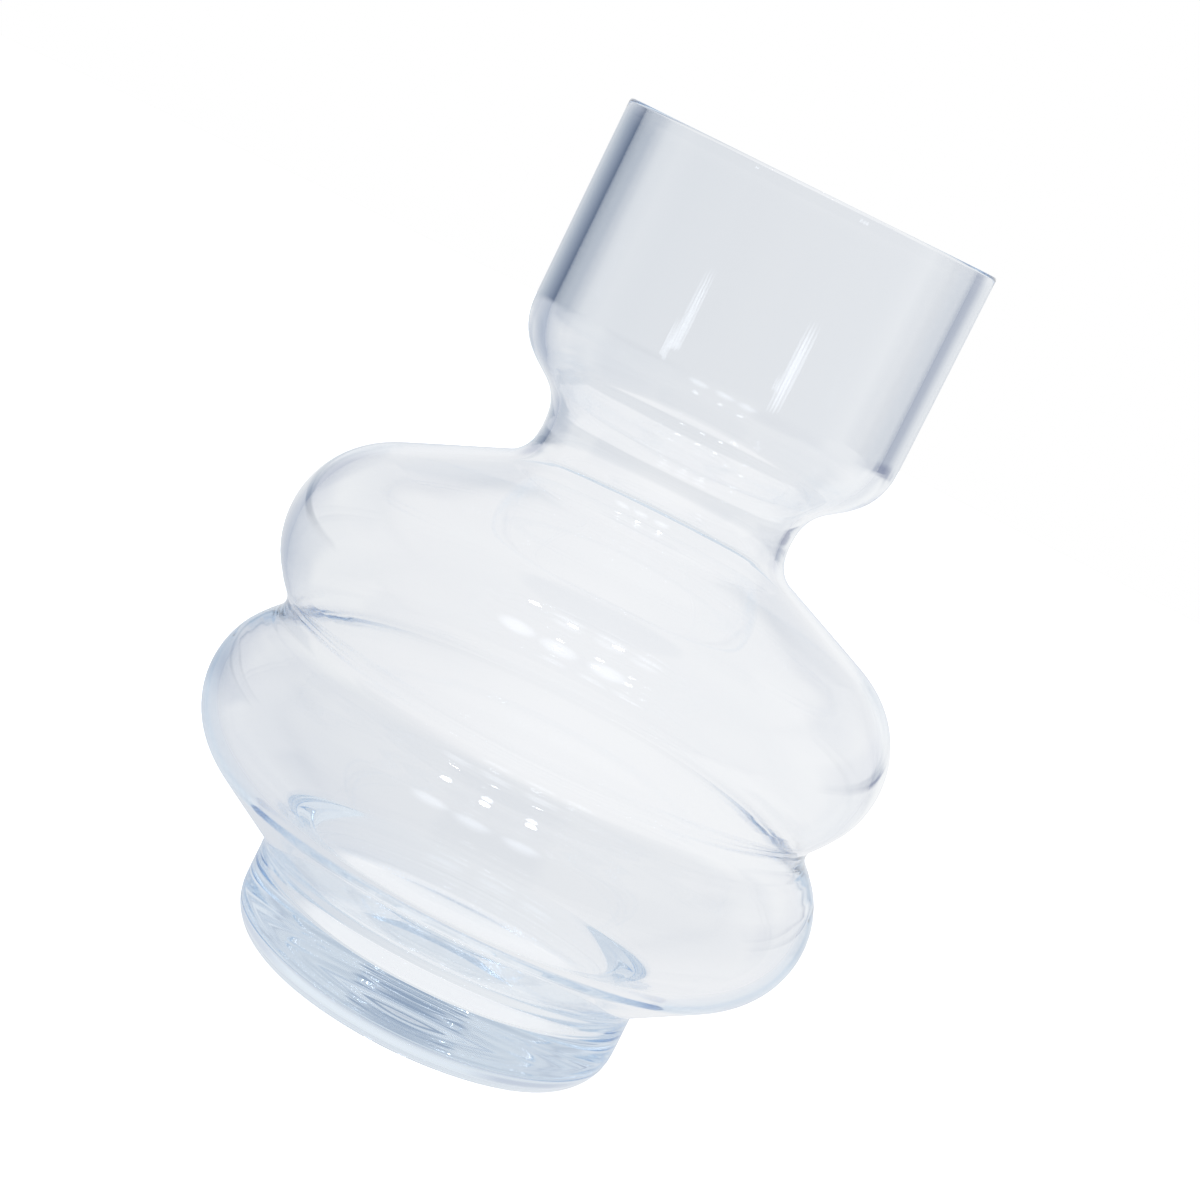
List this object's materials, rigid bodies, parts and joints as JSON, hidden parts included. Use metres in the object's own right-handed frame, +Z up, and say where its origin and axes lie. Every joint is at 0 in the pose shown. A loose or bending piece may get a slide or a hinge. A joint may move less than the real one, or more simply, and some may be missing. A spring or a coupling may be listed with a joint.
{
  "type": "glass propagation bottle",
  "caption": "Clear blown-glass propagation bottle: a straight cup on a narrow neck over stacked bulbs with a waist between them and a short thick foot. Holds a cutting in water.",
  "frame": {"origin": "middle of the ring that the bottle stands on", "axes": "+Z up along the axis that the bottle is spun about; X and Y are alike, because the bottle is round"},
  "size_m": [0.1, 0.1, 0.1387],
  "materials": {
    "clear_glass": "clear, fire-polished, with a faint blue tint where the glass is thick"
  },
  "bodies": {
    "root": {"glass_bottle": "clear_glass"}
  },
  "joints": []
}
